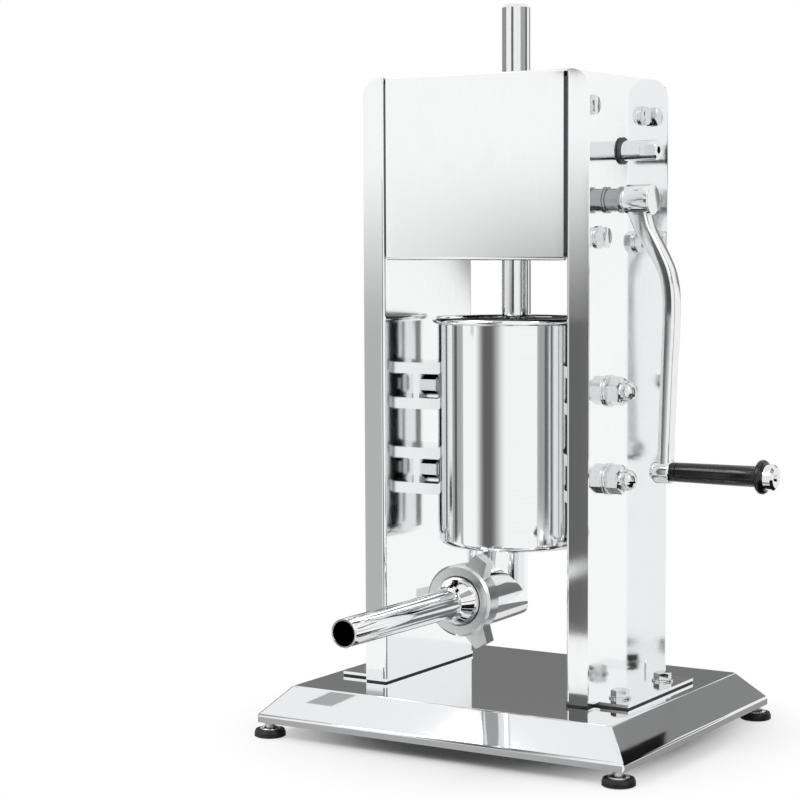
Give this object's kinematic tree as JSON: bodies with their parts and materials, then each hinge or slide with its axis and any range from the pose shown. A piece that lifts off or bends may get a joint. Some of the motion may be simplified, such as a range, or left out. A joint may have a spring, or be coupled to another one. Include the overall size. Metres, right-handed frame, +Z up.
{
  "type": "sausage stuffer",
  "caption": "Upright hand-cranked sausage stuffer: steel cylinder held between two channel uprights on a sloped base, geared rack piston, long front filling tube and a cranked handle.",
  "frame": {"origin": "on the floor under the rod's axis, midway between the four feet", "axes": "+Z up along the rod, -Y towards the filling tube, +X towards the crank"},
  "size_m": [0.4362, 0.438, 0.6445],
  "materials": {
    "polished_pan": "mirror-polished stainless sheet",
    "polished_can": "polished stainless",
    "sheet_steel": "bright rolled stainless sheet",
    "dark_steel": "dark grey painted steel",
    "black_rubber": "matt black rubber",
    "bolt_steel": "bright turned stainless",
    "gear_steel": "machined steel with a film of grease",
    "bronze": "sintered bronze",
    "white_nylon": "white food-grade nylon",
    "cast_aluminium": "turned aluminium",
    "red_silicone": "food-grade silicone",
    "chromed_crank": "chromed steel",
    "black_plastic": "satin black plastic"
  },
  "bodies": {
    "frame": {"base_pan": "polished_pan", "front_rail": "dark_steel", "rear_rail": "dark_steel", "left_upright": "sheet_steel", "right_upright": "sheet_steel", "left_foot_plate": "sheet_steel", "right_foot_plate": "sheet_steel", "gaskets": "black_rubber", "foot_bolts": "bolt_steel", "foot_nuts": "bolt_steel", "gear_housing": "sheet_steel", "left_side_plate": "dark_steel", "right_side_plate": "dark_steel", "gear_bracket": "dark_steel", "guide_bar": "dark_steel", "top_guide": "white_nylon", "lower_guide": "white_nylon", "box_bolt_set": "bolt_steel", "fast_bush_left": "bronze", "fast_bush_right": "bronze", "slow_bush_outer": "bronze", "slow_bush_inner": "bronze", "cylinder_can": "polished_can", "cylinder_base": "polished_can", "outlet_elbow": "polished_can", "clip_left_low": "sheet_steel", "clip_left_high": "sheet_steel", "clip_right_low": "sheet_steel", "clip_right_high": "sheet_steel", "clip_studs": "bolt_steel", "clip_washers": "bolt_steel", "clip_nuts": "bolt_steel", "nozzle_seal": "white_nylon", "filling_tube": "polished_can"},
    "rod": {"rack_rod": "gear_steel", "piston_disc": "cast_aluminium", "piston_seal": "white_nylon", "piston_nut": "bolt_steel", "air_valve": "red_silicone"},
    "fast_drive": {"fast_shaft": "gear_steel", "large_gear": "gear_steel", "fast_collar": "gear_steel"},
    "crank": {"slow_shaft": "gear_steel", "small_gear": "gear_steel", "slow_collar": "gear_steel", "crank_arm": "chromed_crank", "crank_screw": "bolt_steel", "grip_spindle": "gear_steel", "grip_end": "bolt_steel"},
    "grip": {"grip_sleeve": "black_plastic", "grip_ferrule": "black_plastic"},
    "clamp_ring": {"ring_nut": "polished_can"},
    "foot_front_left": {"foot_stud_fl": "bolt_steel", "foot_pad_fl": "black_rubber"},
    "foot_front_right": {"foot_stud_fr": "bolt_steel", "foot_pad_fr": "black_rubber"},
    "foot_rear_left": {"foot_stud_rl": "bolt_steel", "foot_pad_rl": "black_rubber"},
    "foot_rear_right": {"foot_stud_rr": "bolt_steel", "foot_pad_rr": "black_rubber"}
  },
  "joints": [
    {"name": "crank_turn", "type": "hinge", "parent": "frame", "child": "crank", "pos_m": [0.1, -0.00524, 0.472], "axis": [1, 0, 0], "range_deg": [-740, 1910]},
    {"name": "fast_turn", "type": "hinge", "parent": "frame", "child": "fast_drive", "pos_m": [0.1, 0.024, 0.515], "axis": [1, 0, 0], "range_deg": [-640, 250]},
    {"name": "rod_slide", "type": "slide", "parent": "frame", "child": "rod", "axis": [0, 0, 1], "range_m": [-0.0605, 0.156]},
    {"name": "grip_spin", "type": "hinge", "parent": "crank", "child": "grip", "pos_m": [0.19, -0.00524, 0.24], "axis": [1, 0, 0], "continuous": true},
    {"name": "ring_turn", "type": "hinge", "parent": "frame", "child": "clamp_ring", "pos_m": [0, -0.096, 0.13], "axis": [0, -1, 0], "range_deg": [0, 350]},
    {"name": "foot_turn_front_left", "type": "hinge", "parent": "frame", "child": "foot_front_left", "pos_m": [-0.1715, -0.1415, 0.01], "axis": [0, 0, 1], "continuous": true},
    {"name": "foot_turn_front_right", "type": "hinge", "parent": "frame", "child": "foot_front_right", "pos_m": [0.1715, -0.1415, 0.01], "axis": [0, 0, 1], "continuous": true},
    {"name": "foot_turn_rear_left", "type": "hinge", "parent": "frame", "child": "foot_rear_left", "pos_m": [-0.1715, 0.1415, 0.01], "axis": [0, 0, 1], "continuous": true},
    {"name": "foot_turn_rear_right", "type": "hinge", "parent": "frame", "child": "foot_rear_right", "pos_m": [0.1715, 0.1415, 0.01], "axis": [0, 0, 1], "continuous": true}
  ],
  "couplings": [
    {"joint": "fast_turn", "follows": "crank_turn", "ratio": -0.33333},
    {"joint": "rod_slide", "follows": "crank_turn", "m_per_rad": 0.0046667}
  ]
}
